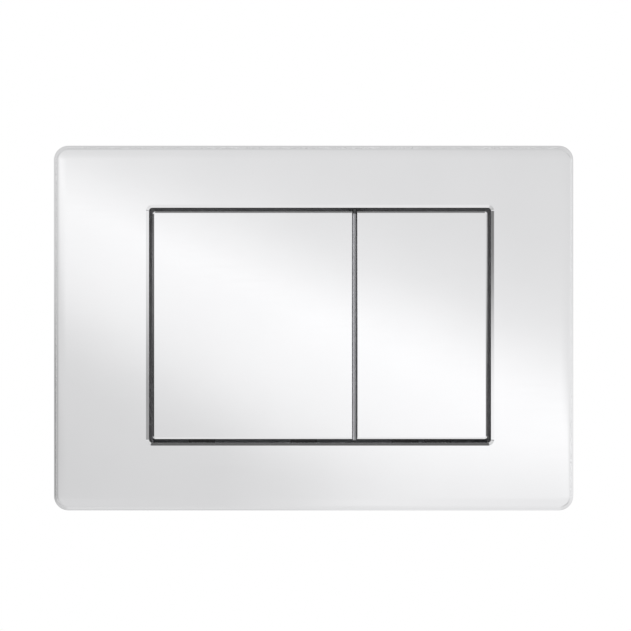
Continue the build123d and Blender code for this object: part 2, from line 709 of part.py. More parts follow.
def make_lock_nut(name, rod_x):
    """Hexagon nut between the rod's shoulder and the head's neck."""
    with BuildPart() as nut:
        with BuildSketch(level(ROD_FRONT)):
            with Locations((rod_x, ROD_Z)):
                RegularPolygon(LOCK_NUT_ACROSS_FLATS / 2, 6, major_radius=False)
                Circle(ROD_THREAD_R + THREAD_CLEARANCE, mode=Mode.SUBTRACT)
        extrude(amount=LOCK_NUT_HEIGHT)
    save(nut, name)


def make_return_spring(name, rod_x):
    """Compression spring between the guide tube and the rod head, wound in short steps."""
    steps = SPRING_TURNS * SPRING_STEPS_PER_TURN
    first = GUIDE_LEVEL + SPRING_WIRE_R
    rise = HEAD_BACK - GUIDE_LEVEL - 2 * SPRING_WIRE_R
    climb = rise / (2 * pi * SPRING_TURNS)
    with BuildPart() as spring:
        for step in range(steps + 1):
            turn = 2 * pi * step / SPRING_STEPS_PER_TURN
            outward = Vector(cos(turn), 0, sin(turn))
            along = Vector(-SPRING_MEAN_R * sin(turn), -climb, SPRING_MEAN_R * cos(turn))
            axis_point = Vector(rod_x, -(first + climb * turn), ROD_Z)
            station = Plane(axis_point + outward * SPRING_MEAN_R, x_dir=outward, z_dir=along)
            with BuildSketch(station):
                RegularPolygon(SPRING_WIRE_R, SPRING_WIRE_SIDES)
        loft(ruled=True)
    save(spring, name)


def make_fixing_stud(name, stud_x):
    """Stud into the cistern, with a thinner front end for the thumb nut."""
    with BuildPart() as stud:
        with BuildSketch(level(STUD_FRONT)):
            with Locations((stud_x, 0)):
                Circle(STUD_R)
        extrude(amount=-STUD_LENGTH)
        with BuildSketch(level(STUD_FRONT)):
            with Locations((stud_x, 0)):
                Circle(STUD_FRONT_R)
        extrude(amount=STUD_FRONT_LENGTH)
        ends = stud.faces().filter_by(Axis.Y).sort_by(Axis.Y)
        chamfer(ends[0].edges() + ends[-1].edges(), length=STUD_CHAMFER)
    save(stud, name)


def make_thumb_nut(name, stud_x):
    """Round nut with finger grips that clamps the frame's back wall."""
    with BuildPart() as nut:
        with BuildSketch(level(TRAY_FLOOR)):
            with Locations((stud_x, 0)):
                Circle(NUT_FLANGE_R)
                with PolarLocations(NUT_FLANGE_R + NUT_GRIP_R / 2, NUT_GRIPS):
                    Circle(NUT_GRIP_R, mode=Mode.SUBTRACT)
        extrude(amount=NUT_FLANGE_WALL)
        with BuildSketch(level(TRAY_FLOOR)):
            with Locations((stud_x, 0)):
                Circle(NUT_HUB_R)
        extrude(amount=NUT_HEIGHT)
        fillet(nut.faces().sort_by(Axis.Y)[0].edges(), radius=NUT_ROUND)
        with BuildSketch(level(TRAY_FLOOR)):
            with Locations((stud_x, 0)):
                Circle(STUD_FRONT_R + THREAD_CLEARANCE)
        extrude(amount=NUT_HEIGHT, mode=Mode.SUBTRACT)
    save(nut, name)


os.makedirs("parts", exist_ok=True)
make_fascia()
make_carrier()
make_carrier_screws()
make_mounting_frame()
for button, left, width, rod_x in (
    ("full", FULL_LEFT, FULL_BUTTON_WIDTH, -ROD_SPACING / 2),
    ("half", HALF_LEFT, HALF_BUTTON_WIDTH, ROD_SPACING / 2),
):
    make_button(f"{button}_flush_button", left, width, rod_x)
    make_stop_pads(f"{button}_stop_pads", left, width)
    make_hinge_pin(f"{button}_hinge_pin", left, width)
    make_push_rod(f"{button}_push_rod", rod_x)
    make_rod_head(f"{button}_rod_head", rod_x)
    make_lock_nut(f"{button}_rod_lock_nut", rod_x)
    make_return_spring(f"{button}_return_spring", rod_x)
for side, stud_x in (("left", -STUD_SPACING / 2), ("right", STUD_SPACING / 2)):
    make_fixing_stud(f"fixing_stud_{side}", stud_x)
    make_thumb_nut(f"thumb_nut_{side}", stud_x)
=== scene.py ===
import json
import math

import bmesh
import bpy
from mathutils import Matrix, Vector


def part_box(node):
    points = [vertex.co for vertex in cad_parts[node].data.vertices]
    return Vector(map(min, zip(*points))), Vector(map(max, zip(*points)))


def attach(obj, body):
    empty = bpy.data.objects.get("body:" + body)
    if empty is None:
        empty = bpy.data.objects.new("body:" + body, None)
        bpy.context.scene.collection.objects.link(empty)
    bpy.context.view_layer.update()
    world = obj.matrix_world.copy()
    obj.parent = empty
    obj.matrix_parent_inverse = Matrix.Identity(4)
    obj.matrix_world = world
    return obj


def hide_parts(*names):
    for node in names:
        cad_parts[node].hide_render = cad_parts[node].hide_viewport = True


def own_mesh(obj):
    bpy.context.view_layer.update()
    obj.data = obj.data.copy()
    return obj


# Flush button plate: finishes, fine detail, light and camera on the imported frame.
# The plate faces -Y, +Z is up, and every length is in metres.

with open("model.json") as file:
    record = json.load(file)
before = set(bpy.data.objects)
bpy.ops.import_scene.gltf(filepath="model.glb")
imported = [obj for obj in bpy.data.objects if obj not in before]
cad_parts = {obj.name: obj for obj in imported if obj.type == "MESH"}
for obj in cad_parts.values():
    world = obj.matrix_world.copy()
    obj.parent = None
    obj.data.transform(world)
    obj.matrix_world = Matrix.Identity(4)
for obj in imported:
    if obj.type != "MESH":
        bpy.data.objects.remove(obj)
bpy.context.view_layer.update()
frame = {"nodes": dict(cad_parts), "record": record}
record = frame["record"]
cad_nodes = frame["nodes"]

MM = 0.001

# The photograph, in pixels
IMAGE_SIZE = 631
PLATE_WIDTH_IN_IMAGE = 520.3
PLATE_CENTER_IN_IMAGE = (313.6, 328.1)

# Camera
CAMERA_DISTANCE = 1.0
SENSOR_WIDTH = 36.0

# Reflection tent, which only the chrome and the other shiny pieces show. Its brightness goes by the direction
# from the plate alone: x, z and forward (the plate's way, -Y) are the parts of that direction, and its slopes
# to the right and up are x and z over forward. Each table below pairs one of these with a brightness.
TENT_RADIUS = 12.0
TENT_SEGMENTS = (96, 48)
CURVE_TOP = 2.0

# Ahead of the plate: a bright strip that falls to the right, by the slope across it, and the shade under it
STRIP_FALL = 0.38
SHADE_FALL = 0.60
LEAST_FORWARD = 0.15
ABOVE_STRIP = ((-0.012, 1.05), (0.003, 1.03), (0.018, 0.95), (0.04, 0.83), (0.11, 0.745), (0.30, 0.65))
BELOW_STRIP = ((-0.28, 0.34), (-0.18, 0.53), (-0.11, 0.70), (-0.085, 0.73), (-0.045, 0.93), (0.0, 1.04))

# Low in front, where the floor would be: by the slope to the right, between two slopes down
FLOOR_GLOW = ((-0.12, 0.71), (-0.05, 0.72), (-0.007, 0.79), (0.03, 0.88), (0.12, 0.86))
FLOOR_GLOW_SLOPES = (-0.11, -0.055)

# Left and right sides: by z, blended in over a range of x
LEFT_SIDE = (
    (-0.9, 0.64), (-0.5, 0.58), (-0.2, 0.46), (-0.074, 0.44), (-0.038, 0.36),
    (0.002, 0.56), (0.039, 0.71), (0.1, 0.71), (0.5, 0.70), (0.9, 0.68),
)
RIGHT_SIDE = (
    (-0.9, 0.76), (-0.5, 0.80), (-0.2, 0.85), (-0.074, 0.88), (-0.038, 0.90),
    (0.002, 0.78), (0.039, 0.74), (0.1, 0.73), (0.5, 0.70), (0.9, 0.67),
)
SIDE_START = 0.16
SIDE_FULL = 0.27

# Level bands on both sides, seen in the face from a corner: by z, blended in over ranges of z and forward
BANDS = (
    (-0.95, 0.66), (-0.78, 0.50), (-0.60, 0.76), (-0.43, 0.50), (-0.27, 0.76), (-0.12, 0.50),
    (0.12, 0.70), (0.26, 0.52), (0.42, 0.78), (0.62, 0.56), (0.95, 0.90),
)
BANDS_HEIGHTS = (0.12, 0.24)
BANDS_FORWARD = (0.60, 0.68)

# Four patches beside, over and under the plate. Each has a part that the bevels of the buttons show, a slit,
# and a part that the bevels of the opening show. The rolled rim shows all three.
PATCH_FORWARD = (0.26, 0.31, 0.60, 0.65)
SLIT_FORWARD = (0.40, 0.43, 0.49, 0.52)
SIDE_PATCH_Z = (0.10, 0.14)
END_PATCH_X = (0.13, 0.20)
LEFT_TO_RIGHT_X = (-0.2, 0.2)
LOWER_TO_UPPER_Z = (-0.045, 0.04)
SIDES_TO_ENDS_Z = (0.15, 0.50)
# Brightness at the lower and upper left, the lower and upper right, the top and the foot
BUTTON_PATCHES = (0.05, 0.15, 0.15, 0.60, 0.24, 0.84)
SLIT_PATCHES = (0.02, 2.00, 2.50, 1.20, 2.10, 0.66)
OPENING_PATCHES = (0.97, 0.22, 0.36, 0.84, 0.13, 0.84)

# Behind the plate: by z, blended in over a range of +Y
BACK_GLOW = ((-0.9, 0.42), (-0.5, 0.50), (-0.25, 0.66), (0.0, 0.56), (0.3, 0.42), (0.9, 0.62))
BACK_GLOW_RANGE = (0.5, 0.95)

# Floor, lamps (name, place, size and power) and the even light of the world
FLOOR_DROP = 0.3
FLOOR_RADIUS = 1.2
FLOOR_SIDES = 96
FLOOR_FADE = (0.5, FLOOR_RADIUS * 0.95)
FLOOR_COLOR = (0.86, 0.86, 0.86, 1.0)
LAMPS = (
    ("key_lamp", (-0.9, -1.1, 1.3), 0.9, 22.0),
    ("fill_lamp", (1.2, -0.6, 0.7), 0.9, 9.0),
    ("back_lamp", (0.9, 1.2, 1.1), 0.8, 24.0),
)
AMBIENT = 0.45
WHITE = (1, 1, 1, 1)

# Finishes. A noise has a scale per metre, a detail and a stretch, and tones are factors of a slot's colour.
NOISE_WIDE = (0.25, 0.75)
NOISE_NARROW = (0.3, 0.7)
FINE_EDGE_R = 0.05 * MM
EDGE_SAMPLES = 6

# Chrome plating, with the softer shine of the rolled rim by the distance to the plate's edge
CHROME_TONES = (1.04, 1.06)
CHROME_HAZE = (28.0, 3.0)
CHROME_WIPE = (60.0, 2.0, (1.0, 1.0, 9.0))
CHROME_WAVES = (45.0, 2.0)
CHROME_WAVE_DEPTH = 0.004 * MM
MIRROR_ROUGHNESS = (0.03, 0.055)
RIM_ROUGHNESS = 0.15
RIM_WIDTH = (1.8 * MM, 2.8 * MM)
RIM_CORNER_R = 6.5 * MM

# Moulded plastic: a painted highlight on its edges by how pointed they are, rounds too small for the solids,
# and painted shade in its deep corners
MOULDED_TONES = (0.9, 1.15)
MOULDED_TONE_RANGE = (0.25, 0.95)
MOULDED_FLOW = (22.0, 4.0, (1.0, 1.0, 2.5))
MOULDED_GRAIN = (1500.0, 4.0)
MOULDED_SHINE_RANGE = (0.1, 0.45)
MOULDED_EDGE_R = 0.3 * MM
PAINTED_EDGE_HIGHLIGHT_POINTINESS = (0.52, 0.62)
PAINTED_EDGE_HIGHLIGHT_TONE = 0.35
PAINTED_CORNER_SHADE_REACH = 6.0 * MM
PAINTED_CORNER_SHADE_SAMPLES = 8
PAINTED_CORNER_SHADE_OPENNESS = (0.08, 0.35)
PAINTED_CORNER_SHADE = 0.12
CARRIER_ROUGHNESS = (0.42, 0.62)
CARRIER_GRAIN_DEPTH = 0.012 * MM
CARRIER_TONE = 1.4
FRAME_ROUGHNESS = (0.45, 0.68)
FRAME_GRAIN_DEPTH = 0.02 * MM
NUT_ROUGHNESS = (0.38, 0.6)
NUT_GRAIN_DEPTH = 0.015 * MM

# Rib between the buttons: how deep its own tones go, where its left edge gets a painted highlight as if lit
# from the left, the tones of that highlight and of the rest of the rib, and the heights between which its
# ends get painted shade, with the tone of that shade
RIB_ROUND = 0.7 * MM
RIB_PAINTED_HIGHLIGHT_LEFT = (17.95 * MM, 18.5 * MM)
RIB_PAINTED_LIGHT_TONES = (2.0, 0.72)
RIB_TOP_PAINTED_SHADE = (51.2 * MM, 52.2 * MM)
RIB_FOOT_PAINTED_SHADE = (-50.9 * MM, -50.2 * MM)
RIB_END_PAINTED_SHADE = 0.08

# Turned plastic of the rods
TURNED_TONES = (0.95, 1.03)
TURNED_CLOUD = (90.0, 3.0)
TURNED_ROUGHNESS = (0.3, 0.42)
TURNED_RINGS = {"Scale": 620.0, "Distortion": 1.2, "Detail": 2.0, "Detail Scale": 3.0}
TURNED_RING_DEPTH = 0.006 * MM
TURNED_CLEAR_SHARE = 0.12
TURNED_CLEAR_REACH = (1.2 * MM, 1.1 * MM, 1.0 * MM)

# Rubber of the stop pads
RUBBER_TONES = (2.0, 3.6)
RUBBER_DUST = (700.0, 4.0)
RUBBER_SKIN = (4000.0, 2.0)
RUBBER_SKIN_DEPTH = 0.01 * MM
RUBBER_ROUGHNESS = (0.7, 0.9)

# Drawn steel of the pins and springs
DRAWN_TONES = (0.88, 1.08)
DRAWN_LINES = (4500.0, 2.0)
DRAWN_STRETCH = 0.04
DRAWN_LINE_DEPTH = 0.003 * MM
PIN_ROUGHNESS = (0.18, 0.32)
SPRING_ROUGHNESS = (0.22, 0.38)

# Zinc plating of the studs and screws
ZINC_TONES = (0.85, 1.1)
ZINC_BLUE = (0.96, 1.0, 1.03)
ZINC_CLOUD = (240.0, 5.0)
ZINC_GRAIN = (3500.0, 2.0)
ZINC_GRAIN_DEPTH = 0.004 * MM
ZINC_ROUGHNESS = (0.24, 0.42)

# Smoothing of the solids' facets
WELD_DISTANCE = 0.004 * MM
SHARP_ANGLE = math.radians(28)

# Threads of the fixing studs, with the depth at each step of one turn
STUD_LENGTH = 42.0 * MM
STUD_STEP = 0.5 * MM
STUD_PITCH = 1.25 * MM
STUD_THREAD_DEPTH = 0.55 * MM
STUD_END_CHAMFER = 0.8 * MM
THREAD_PROFILE = (0.0, 0.0, STUD_THREAD_DEPTH, STUD_THREAD_DEPTH)
THREAD_SIDES = 36

# Return springs
SPRING_WIRE_R = 0.6 * MM
SPRING_TURNS = 5
SPRING_FLAT_TURNS = 0.75
SPRING_STEPS_PER_TURN = 36
SPRING_WIRE_SIDES = 12

# Carrier screws and their cross recesses
SCREW_R = 1.45 * MM
SCREW_HEAD_R = 2.9 * MM
SCREW_HEAD_HEIGHT = 1.6 * MM
SCREW_HEAD_ROUND = 0.7 * MM
SCREW_COLUMNS = 3
SCREW_SIDES = 40
SCREW_ROUND_STEPS = 6
RECESS_SPAN = 3.4 * MM
RECESS_SLOT = 0.9 * MM
RECESS_DEPTH = 1.1 * MM
RECESS_TAPER = 0.6


def put(tree, kind, inputs=None, **settings):
    """Add a node, set its properties, and fill each input with a value or another node's output."""
    node = tree.nodes.new(kind)
    for name, value in settings.items():
        setattr(node, name, value)
    for key, value in (inputs or {}).items():
        if isinstance(value, bpy.types.NodeSocket):
            tree.links.new(value, node.inputs[key])
        else:
            node.inputs[key].default_value = value
    return node


def calc(tree, operation, *values):
    """One step of arithmetic in a node tree."""
    return put(tree, "ShaderNodeMath", dict(enumerate(values)), operation=operation).outputs[0]


def mix(tree, share, first, second):
    """A number that goes from first to second as share goes from 0 to 1."""
    inputs = {"Factor": share, "A": first, "B": second}
    return put(tree, "ShaderNodeMix", inputs, data_type="FLOAT").outputs[0]


def between(tree, value, start, end, first=0.0, last=1.0):
    """A smooth change from first to last while value goes from start to end."""
    inputs = {"Value": value, "From Min": start, "From Max": end, "To Min": first, "To Max": last}
    return put(tree, "ShaderNodeMapRange", inputs, interpolation_type="SMOOTHSTEP").outputs[0]


def band(tree, value, limits):
    """1 while value is between the middle two limits, falling to 0 at the outer two."""
    rise = between(tree, value, limits[0], limits[1])
    fall = between(tree, value, limits[2], limits[3], 1.0, 0.0)
    return calc(tree, "MULTIPLY", rise, fall)


def noise(tree, place, scale, detail, stretch=(1.0, 1.0, 1.0)):
    """Noise between 0 and 1 that can be stretched along the axes."""
    spread = put(tree, "ShaderNodeMapping", {"Vector": place, "Scale": stretch}).outputs[0]
    return put(tree, "ShaderNodeTexNoise", {"Vector": spread, "Scale": scale, "Detail": detail}).outputs[0]


def color_blend(tree, factor, dark, light, limits=NOISE_NARROW):
    """A colour that goes from dark to light as the factor goes from one limit to the other."""
    ramp = put(tree, "ShaderNodeValToRGB", {"Fac": factor})
    low, high = ramp.color_ramp.elements
    low.position, low.color = limits[0], (*dark, 1.0)
    high.position, high.color = limits[1], (*light, 1.0)
    return ramp.outputs["Color"]


def slot_color(slot, factor):
    """The record's colour of a material slot, made darker or lighter."""
    found = next(m for m in record["materials"] if m["slot"] == slot)
    return tuple(min(1.0, part * factor) for part in found["base_color"])


def slot_tones(slot, tones, factor=1.0):
    """The colour of a material slot in a dark and a light tone."""
    return [slot_color(slot, tone * factor) for tone in tones]


def start_material(slot, metallic=0.0):
    """A new material with its node tree, its shader and object coordinates."""
    material = bpy.data.materials.new(slot)
    material.use_nodes = True
    tree = material.node_tree
    shader = tree.nodes["Principled BSDF"]
    shader.inputs["Metallic"].default_value = metallic
    place = put(tree, "ShaderNodeTexCoord").outputs["Object"]
    return material, tree, shader, place


def wire_up(tree, shader, color, roughness, height, depth, edge_r=FINE_EDGE_R):
    """Give the shader its colour, its roughness, a bump of the given depth and softened edges."""
    rounded = put(tree, "ShaderNodeBevel", {"Radius": edge_r}, samples=EDGE_SAMPLES).outputs[0]
    bump = put(tree, "ShaderNodeBump", {"Distance": depth, "Height": height, "Normal": rounded})
    tree.links.new(color, shader.inputs["Base Color"])
    tree.links.new(roughness, shader.inputs["Roughness"])
    tree.links.new(bump.outputs[0], shader.inputs["Normal"])


def rim_share(tree, place):
    """1 on the plate's rolled rim and 0 on the rest of the plating."""
    low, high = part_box("fascia")
    x, _, z = put(tree, "ShaderNodeSeparateXYZ", {0: place}).outputs
    past = []
    for part, least, most in ((x, low.x, high.x), (z, low.z, high.z)):
        from_middle = calc(tree, "ABSOLUTE", calc(tree, "SUBTRACT", part, (least + most) / 2))
        straight = (most - least) / 2 - RIM_CORNER_R
        past.append(calc(tree, "MAXIMUM", calc(tree, "SUBTRACT", from_middle, straight), 0.0))
    squares = [calc(tree, "MULTIPLY", length, length) for length in past]
    reach = calc(tree, "SQRT", calc(tree, "ADD", *squares))
    inward = calc(tree, "SUBTRACT", RIM_CORNER_R, reach)
    return between(tree, inward, *RIM_WIDTH, 1.0, 0.0)


def chrome(slot):
    """Bright plating: nearly a mirror, with faint haze and the slow waves of moulded plastic."""
    material, tree, shader, place = start_material(slot, metallic=1.0)
    haze = noise(tree, place, *CHROME_HAZE)
    wipe = noise(tree, place, *CHROME_WIPE)
    color = color_blend(tree, haze, *slot_tones(slot, CHROME_TONES))
    roughness = between(tree, wipe, *NOISE_WIDE, *MIRROR_ROUGHNESS)
    roughness = mix(tree, rim_share(tree, place), roughness, RIM_ROUGHNESS)
    wire_up(tree, shader, color, roughness, noise(tree, place, *CHROME_WAVES), CHROME_WAVE_DEPTH)
    return material


def rib_painted_light(tree, place, tone):
    """The tone of the carrier, but on the rib between the buttons a painted highlight at its left and painted
    shade at its ends.
    """
    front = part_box("button_carrier")[0].y
    x, y, z = put(tree, "ShaderNodeSeparateXYZ", {0: place}).outputs
    near = between(tree, y, front + RIB_ROUND, front + 2 * RIB_ROUND, 1.0, 0.0)
    # Painted shade at both ends of the rib, where they run in under the edges of the opening.
    top = between(tree, z, *RIB_TOP_PAINTED_SHADE)
    foot = between(tree, z, *RIB_FOOT_PAINTED_SHADE, 1.0, 0.0)
    # Painted highlight on the rib's left edge, as if lit from the left, falling to the tone of the rest of
    # the rib.
    across = between(tree, x, *RIB_PAINTED_HIGHLIGHT_LEFT, *RIB_PAINTED_LIGHT_TONES)
    along = mix(tree, calc(tree, "MAXIMUM", top, foot), across, RIB_END_PAINTED_SHADE)
    return mix(tree, near, tone, along)


def moulded_plastic(slot, roughness_range, grain_depth, factor=1.0, local_painted_light=None):
    """Matt moulded plastic: spark-eroded grain, flow marks, a painted highlight on its edges and painted
    shade in its deep corners.
    """
    material, tree, shader, place = start_material(slot)
    flow = noise(tree, place, *MOULDED_FLOW)
    grain = noise(tree, place, *MOULDED_GRAIN)
    edges = put(tree, "ShaderNodeNewGeometry").outputs["Pointiness"]
    # Painted highlight: pointiness lightens the colour on convex edges, added to the real flow marks.
    shade = calc(tree, "ADD", flow, between(tree, edges, *PAINTED_EDGE_HIGHLIGHT_POINTINESS, 0.0, PAINTED_EDGE_HIGHLIGHT_TONE))
    color = color_blend(tree, shade, *slot_tones(slot, MOULDED_TONES, factor), MOULDED_TONE_RANGE)
    # Painted shade: ambient occlusion darkens the colour in deep corners, gaps and recesses, where shade
    # falls.
    painted_shade_occlusion = put(tree, "ShaderNodeAmbientOcclusion", {"Distance": PAINTED_CORNER_SHADE_REACH}, samples=PAINTED_CORNER_SHADE_SAMPLES)
    tone = between(tree, painted_shade_occlusion.outputs["AO"], *PAINTED_CORNER_SHADE_OPENNESS, PAINTED_CORNER_SHADE, 1.0)
    # Painted light and shade on one part, such as the rib between the buttons, in place of the painted corner
    # shade there.
    if local_painted_light:
        tone = local_painted_light(tree, place, tone)
    toned = put(tree, "ShaderNodeVectorMath", {0: color, "Scale": tone}, operation="SCALE").outputs[0]
    worn = calc(tree, "MULTIPLY", flow, grain)
    roughness = between(tree, worn, *MOULDED_SHINE_RANGE, *roughness_range)
    wire_up(tree, shader, toned, roughness, grain, grain_depth, MOULDED_EDGE_R)
    return material


def turned_plastic(slot):
    """Smooth white plastic with the fine rings that a lathe tool leaves."""
    material, tree, shader, place = start_material(slot)
    shader.inputs["Subsurface Weight"].default_value = TURNED_CLEAR_SHARE
    shader.inputs["Subsurface Radius"].default_value = TURNED_CLEAR_REACH
    waves = {"Vector": place, **TURNED_RINGS}
    rings = put(tree, "ShaderNodeTexWave", waves, wave_type="BANDS", bands_direction="Y").outputs[1]
    cloud = noise(tree, place, *TURNED_CLOUD)
    color = color_blend(tree, cloud, *slot_tones(slot, TURNED_TONES))
    roughness = between(tree, cloud, *NOISE_NARROW, *TURNED_ROUGHNESS)
    wire_up(tree, shader, color, roughness, rings, TURNED_RING_DEPTH)
    return material


def rubber(slot):
    """Black rubber with a dull skin, grey with bloom and dust."""
    material, tree, shader, place = start_material(slot)
    dust = noise(tree, place, *RUBBER_DUST)
    color = color_blend(tree, dust, *slot_tones(slot, RUBBER_TONES))
    roughness = between(tree, dust, *NOISE_NARROW, *RUBBER_ROUGHNESS)
    wire_up(tree, shader, color, roughness, noise(tree, place, *RUBBER_SKIN), RUBBER_SKIN_DEPTH)
    return material


def drawn_steel(slot, draw_axis, roughness_range):
    """Bare steel with fine lines along the way it was drawn."""
    material, tree, shader, place = start_material(slot, metallic=1.0)
    stretch = tuple(DRAWN_STRETCH if axis == draw_axis else 1.0 for axis in "XYZ")
    lines = noise(tree, place, *DRAWN_LINES, stretch)
    color = color_blend(tree, lines, *slot_tones(slot, DRAWN_TONES))
    roughness = between(tree, lines, *NOISE_WIDE, *roughness_range)
    wire_up(tree, shader, color, roughness, lines, DRAWN_LINE_DEPTH)
    return material


def zinc_plating(slot):
    """Zinc-plated steel: a pale grey coat with cloudy, slightly blue patches."""
    material, tree, shader, place = start_material(slot, metallic=1.0)
    cloud = noise(tree, place, *ZINC_CLOUD)
    grain = noise(tree, place, *ZINC_GRAIN)
    dark, light = slot_tones(slot, ZINC_TONES)
    blue = [part * tint for part, tint in zip(dark, ZINC_BLUE)]
    color = color_blend(tree, cloud, blue, light)
    roughness = between(tree, cloud, *NOISE_WIDE, *ZINC_ROUGHNESS)
    wire_up(tree, shader, color, roughness, grain, ZINC_GRAIN_DEPTH)
    return material


def smoothing_group():
    """A node group that shades smooth every edge flatter than the sharp angle."""
    group = bpy.data.node_groups.new("smooth_facets", "GeometryNodeTree")
    group.interface.new_socket("Geometry", in_out="INPUT", socket_type="NodeSocketGeometry")
    group.interface.new_socket("Geometry", in_out="OUTPUT", socket_type="NodeSocketGeometry")
    start = put(group, "NodeGroupInput").outputs[0]
    plain = put(group, "GeometryNodeRemoveAttribute", {"Geometry": start, "Name": "custom_normal"}).outputs[0]
    faces = put(group, "GeometryNodeSetShadeSmooth", {0: plain}, domain="FACE").outputs[0]
    angle = put(group, "GeometryNodeInputMeshEdgeAngle").outputs["Unsigned Angle"]
    flat_enough = put(
        group, "FunctionNodeCompare", {0: angle, 1: SHARP_ANGLE}, data_type="FLOAT", operation="LESS_THAN"
    ).outputs[0]
    edges = put(group, "GeometryNodeSetShadeSmooth", {0: faces, 2: flat_enough}, domain="EDGE").outputs[0]
    put(group, "NodeGroupOutput", {0: edges})
    return group


def smooth_solid(piece, group):
    """Join a solid's facets at their seams and shade them as the curved faces they stand for."""
    weld = piece.modifiers.new("join_seams", "WELD")
    weld.merge_threshold = WELD_DISTANCE
    shade = piece.modifiers.new("smooth_facets", "NODES")
    shade.node_group = group
    weighted = piece.modifiers.new("keep_flats_flat", "WEIGHTED_NORMAL")
    weighted.keep_sharp = True


def mesh_piece(name, mesh, body, slot, replaced):
    """A new piece made of a bmesh, in place of CAD nodes and moving with their body."""
    data = bpy.data.meshes.new(name)
    mesh.to_mesh(data)
    mesh.free()
    data.shade_smooth()
    data.set_sharp_from_angle(angle=SHARP_ANGLE)
    piece = bpy.data.objects.new(name, data)
    bpy.context.scene.collection.objects.link(piece)
    data.materials.append(materials[slot])
    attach(piece, body)
    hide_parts(replaced)
    return piece


def ring_strip(mesh, rings):
    """Faces between rings of vertices, each ring closed round its axis."""
    for first, second in zip(rings, rings[1:]):
        for index in range(len(first)):
            after = (index + 1) % len(first)
            mesh.faces.new((first[index], first[after], second[after], second[index]))


def threaded_length(mesh, axis, start, end, outer):
    """A threaded length along Y with both ends chamfered, added to a bmesh."""
    steps = len(THREAD_PROFILE)
    rows = int((end - start) / STUD_PITCH + 2) * steps
    rings = []
    for row in range(-steps, rows):
        ring = []
        for side in range(THREAD_SIDES):
            turn = side / THREAD_SIDES
            y = start + (row / steps + turn) * STUD_PITCH
            y = min(max(y, start), end)
            to_end = min(y - start, end - y)
            radius = min(outer - THREAD_PROFILE[row % steps], outer - STUD_END_CHAMFER + to_end)
            angle = 2 * math.pi * turn
            place = (axis.x + radius * math.cos(angle), y, axis.z + radius * math.sin(angle))
            ring.append(mesh.verts.new(place))
        rings.append(ring)
    for first, second in zip(rings, rings[1:]):
        for index in range(THREAD_SIDES - 1):
            mesh.faces.new((first[index], first[index + 1], second[index + 1], second[index]))
    for row in range(len(rings) - steps - 1):
        low, high = rings[row], rings[row + 1]
        next_low, next_high = rings[row + steps], rings[row + steps + 1]
        mesh.faces.new((low[-1], next_low[0], next_high[0], high[-1]))
    mesh.faces.new(list(reversed(rings[0])))
    mesh.faces.new(rings[-1])


def make_stud(side):
    """Fixing stud with its threads, over the plain cylinders of the solid."""
    node = f"fixing_stud_{side}"
    low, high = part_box(node)
    axis = (low + high) / 2
    outer = (high.x - low.x) / 2
    shoulder = high.y - STUD_LENGTH
    mesh = bmesh.new()
    threaded_length(mesh, axis, shoulder, high.y, outer)
    threaded_length(mesh, axis, low.y, shoulder + STUD_PITCH, outer - STUD_STEP)
    bmesh.ops.remove_doubles(mesh, verts=mesh.verts, dist=WELD_DISTANCE)
    bmesh.ops.recalc_face_normals(mesh, faces=mesh.faces)
    mesh_piece(f"threaded_stud_{side}", mesh, "plate", "zinc_steel", node)


def cross_outline(size):
    """The outline of a cross recess about its middle, at a share of its full size."""
    arm, slot = size * RECESS_SPAN / 2, size * RECESS_SLOT / 2
    quarter = ((arm, -slot), (arm, slot), (slot, slot))
    outline = []
    for across, up in ((1, 0), (0, 1), (-1, 0), (0, -1)):
        outline += [(across * x - up * z, up * x + across * z) for x, z in quarter]
    return outline


def add_screw(mesh, x, z, tip, back):
    """One pan-head screw with a cross recess, added to a bmesh."""
    under = back - SCREW_HEAD_HEIGHT
    corner = back - SCREW_HEAD_ROUND
    profile = [(SCREW_R, tip), (SCREW_R, under), (SCREW_HEAD_R, under)]
    for step in range(SCREW_ROUND_STEPS + 1):
        turn = math.pi / 2 * step / SCREW_ROUND_STEPS
        inset = SCREW_HEAD_ROUND * (1 - math.cos(turn))
        profile.append((SCREW_HEAD_R - inset, corner + SCREW_HEAD_ROUND * math.sin(turn)))
    rings = []
    for radius, y in profile:
        ring = []
        for side in range(SCREW_SIDES):
            angle = 2 * math.pi * side / SCREW_SIDES
            ring.append(mesh.verts.new((x + radius * math.cos(angle), y, z + radius * math.sin(angle))))
        rings.append(ring)
    ring_strip(mesh, rings)
    mesh.faces.new(rings[0])
    mouth = [mesh.verts.new((x + dx, back, z + dz)) for dx, dz in cross_outline(1.0)]
    bed = back - RECESS_DEPTH
    floor = [mesh.verts.new((x + dx, bed, z + dz)) for dx, dz in cross_outline(RECESS_TAPER)]
    ring_strip(mesh, [mouth, floor])
    mesh.faces.new(floor)
    edges = []
    for loop in (rings[-1], mouth):
        edges += [mesh.edges.get((loop[index - 1], loop[index])) for index in range(len(loop))]
    bmesh.ops.triangle_fill(mesh, edges=edges, use_beauty=True)


def make_screws():
    """The six carrier screws, with cross recesses in their heads."""
    node = "carrier_screws"
    low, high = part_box(node)
    first, last = low.x + SCREW_HEAD_R, high.x - SCREW_HEAD_R
    mesh = bmesh.new()
    for column in range(SCREW_COLUMNS):
        x = first + (last - first) * column / (SCREW_COLUMNS - 1)
        for z in (low.z + SCREW_HEAD_R, high.z - SCREW_HEAD_R):
            add_screw(mesh, x, z, low.y, high.y)
    bmesh.ops.recalc_face_normals(mesh, faces=mesh.faces)
    mesh_piece("cross_recess_screws", mesh, "plate", "zinc_steel", node)


def spring_rise(turn):
    """How far up the spring a point is after so many turns, from 0 to 1, with flat end turns."""
    active = SPRING_TURNS - SPRING_FLAT_TURNS
    return min(max((turn - SPRING_FLAT_TURNS / 2) / active, 0.0), 1.0)


